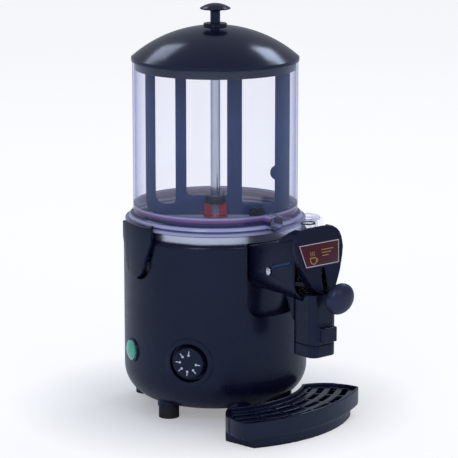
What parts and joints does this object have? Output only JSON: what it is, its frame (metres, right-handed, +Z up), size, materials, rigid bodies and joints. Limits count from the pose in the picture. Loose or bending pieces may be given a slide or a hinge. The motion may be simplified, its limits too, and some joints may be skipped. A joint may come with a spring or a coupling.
{
  "type": "hot drink dispenser",
  "caption": "Counter-top hot chocolate dispenser with a clear heated bowl, geared stirrer, lever tap and separate half-moon drip tray",
  "frame": {"origin": "on the table, under the middle of the bounding box", "axes": "+Z up, the tap faces -Y, +X is on the right as seen from the front"},
  "size_m": [0.28, 0.4098, 0.58],
  "materials": {
    "body_black": "moulded black plastic with a navy tint, satin gloss",
    "lid_black": "glossy black plastic",
    "bowl_clear": "clear plastic with a faint lilac tint",
    "black_steel": "blackened steel",
    "tank_steel": "brushed stainless steel",
    "bright_steel": "polished stainless steel",
    "gasket_red": "magenta red silicone",
    "seal_red": "red silicone",
    "paddle_slate": "slate blue-grey moulded plastic",
    "dark_plastic": "dark plastic",
    "gear_plastic": "natural nylon",
    "cast_case": "die-cast aluminium",
    "zinc_sheet": "zinc-plated sheet",
    "winding": "lacquered windings on laminated iron",
    "pinion_brass": "machined brass",
    "ceramic": "off-white ceramic",
    "foot_rubber": "black rubber",
    "lens_green": "translucent green lens",
    "label_print": "printed plate in maroon with a light border"
  },
  "bodies": {
    "machine": {"upper_housing": "body_black", "lower_housing": "body_black", "base_plate": "zinc_sheet", "base_screws": "bright_steel", "rubber_feet": "foot_rubber", "water_tank": "tank_steel", "bowl_gasket": "gasket_red", "bowl": "bowl_clear", "shaft_seal": "seal_red", "idler_axle": "bright_steel", "gear_case": "cast_case", "gear_cover": "cast_case", "chassis_plate": "zinc_sheet", "motor_case": "zinc_sheet", "motor_stator": "winding", "heating_element": "tank_steel", "thermostat": "zinc_sheet", "terminal_block": "ceramic", "cable_gland": "dark_plastic", "dial_bezel": "body_black", "switch_bezel": "body_black", "switch_body": "dark_plastic", "latch_pins": "bright_steel", "tap_housing": "body_black", "tap_pivot_pin": "bright_steel", "valve_cylinder": "bowl_clear", "tap_spring": "black_steel", "tap_hood": "body_black", "label_plate": "label_print", "spout_cowl": "body_black", "cowl_cap": "body_black", "outlet_tube": "dark_plastic"},
    "lid": {"lid": "lid_black", "knob_washer": "dark_plastic", "lid_knob": "lid_black", "knob_screw": "bright_steel"},
    "stirrer": {"stirrer_frame": "paddle_slate", "stirrer_tube": "bright_steel", "drive_shaft": "bright_steel", "shaft_sleeve": "bright_steel", "drive_lobes": "seal_red", "shaft_collar": "dark_plastic", "shaft_cap": "dark_plastic", "scraper_blade": "foot_rubber", "output_gear": "gear_plastic"},
    "idler": {"idler_gear": "gear_plastic"},
    "rotor": {"motor_rotor": "bright_steel", "motor_pinion": "pinion_brass"},
    "lever": {"tap_lever": "black_steel", "lever_knob": "lid_black"},
    "valve": {"tap_piston": "bowl_clear", "piston_rings": "foot_rubber", "tap_stirrup": "bowl_clear"},
    "dial": {"thermostat_dial": "body_black", "dial_spindle": "bright_steel"},
    "switch": {"switch_button": "lens_green"},
    "clip_left": {"latch_left": "body_black"},
    "clip_right": {"latch_right": "body_black"},
    "tray": {"drip_tray": "body_black"},
    "grid": {"drip_grid": "dark_plastic"}
  },
  "joints": [
    {"name": "lid_lift", "type": "slide", "parent": "machine", "child": "lid", "axis": [0, 0, 1], "range_m": [0, 0.06]},
    {"name": "stirrer_spin", "type": "hinge", "parent": "machine", "child": "stirrer", "pos_m": [0, 0.07086, 0.165], "axis": [0, 0, 1], "continuous": true},
    {"name": "idler_spin", "type": "hinge", "parent": "machine", "child": "idler", "pos_m": [0, 0.10836, 0.16], "axis": [0, 0, 1], "continuous": true},
    {"name": "rotor_spin", "type": "hinge", "parent": "machine", "child": "rotor", "pos_m": [0, 0.14586, 0.13], "axis": [0, 0, 1], "continuous": true},
    {"name": "lever_pull", "type": "hinge", "parent": "machine", "child": "lever", "pos_m": [0, -0.08914, 0.229], "axis": [-1, 0, 0], "range_deg": [0, 17]},
    {"name": "valve_lift", "type": "slide", "parent": "machine", "child": "valve", "axis": [0, 0, 1], "range_m": [0, 0.01095], "deforming": ["tap_spring"]},
    {"name": "dial_turn", "type": "hinge", "parent": "machine", "child": "dial", "pos_m": [-0.10962, -0.00087, 0.0926], "axis": [0.8368, 0.5476, 0], "range_deg": [0, 270]},
    {"name": "switch_press", "type": "slide", "parent": "machine", "child": "switch", "axis": [0.9703, -0.2419, 0], "range_m": [0, 0.003], "stiffness_N_per_m": 600},
    {"name": "clip_left_rock", "type": "hinge", "parent": "machine", "child": "clip_left", "pos_m": [-0.12303, 0.08162, 0.233], "axis": [-0.0872, -0.9962, 0], "range_deg": [0, 14]},
    {"name": "clip_right_rock", "type": "hinge", "parent": "machine", "child": "clip_right", "pos_m": [0.12303, 0.08162, 0.233], "axis": [-0.0872, 0.9962, 0], "range_deg": [0, 14]},
    {"name": "tray_pull", "type": "slide", "parent": "machine", "child": "tray", "axis": [0.1392, -0.9903, 0], "range_m": [0, 0.14]},
    {"name": "grid_lift", "type": "slide", "parent": "tray", "child": "grid", "axis": [0, 0, 1], "range_m": [0, 0.04]}
  ],
  "couplings": [
    {"joint": "idler_spin", "follows": "stirrer_spin", "ratio": -4},
    {"joint": "rotor_spin", "follows": "stirrer_spin", "ratio": 16},
    {"joint": "valve_lift", "follows": "lever_pull", "m_per_rad": 0.0369}
  ]
}
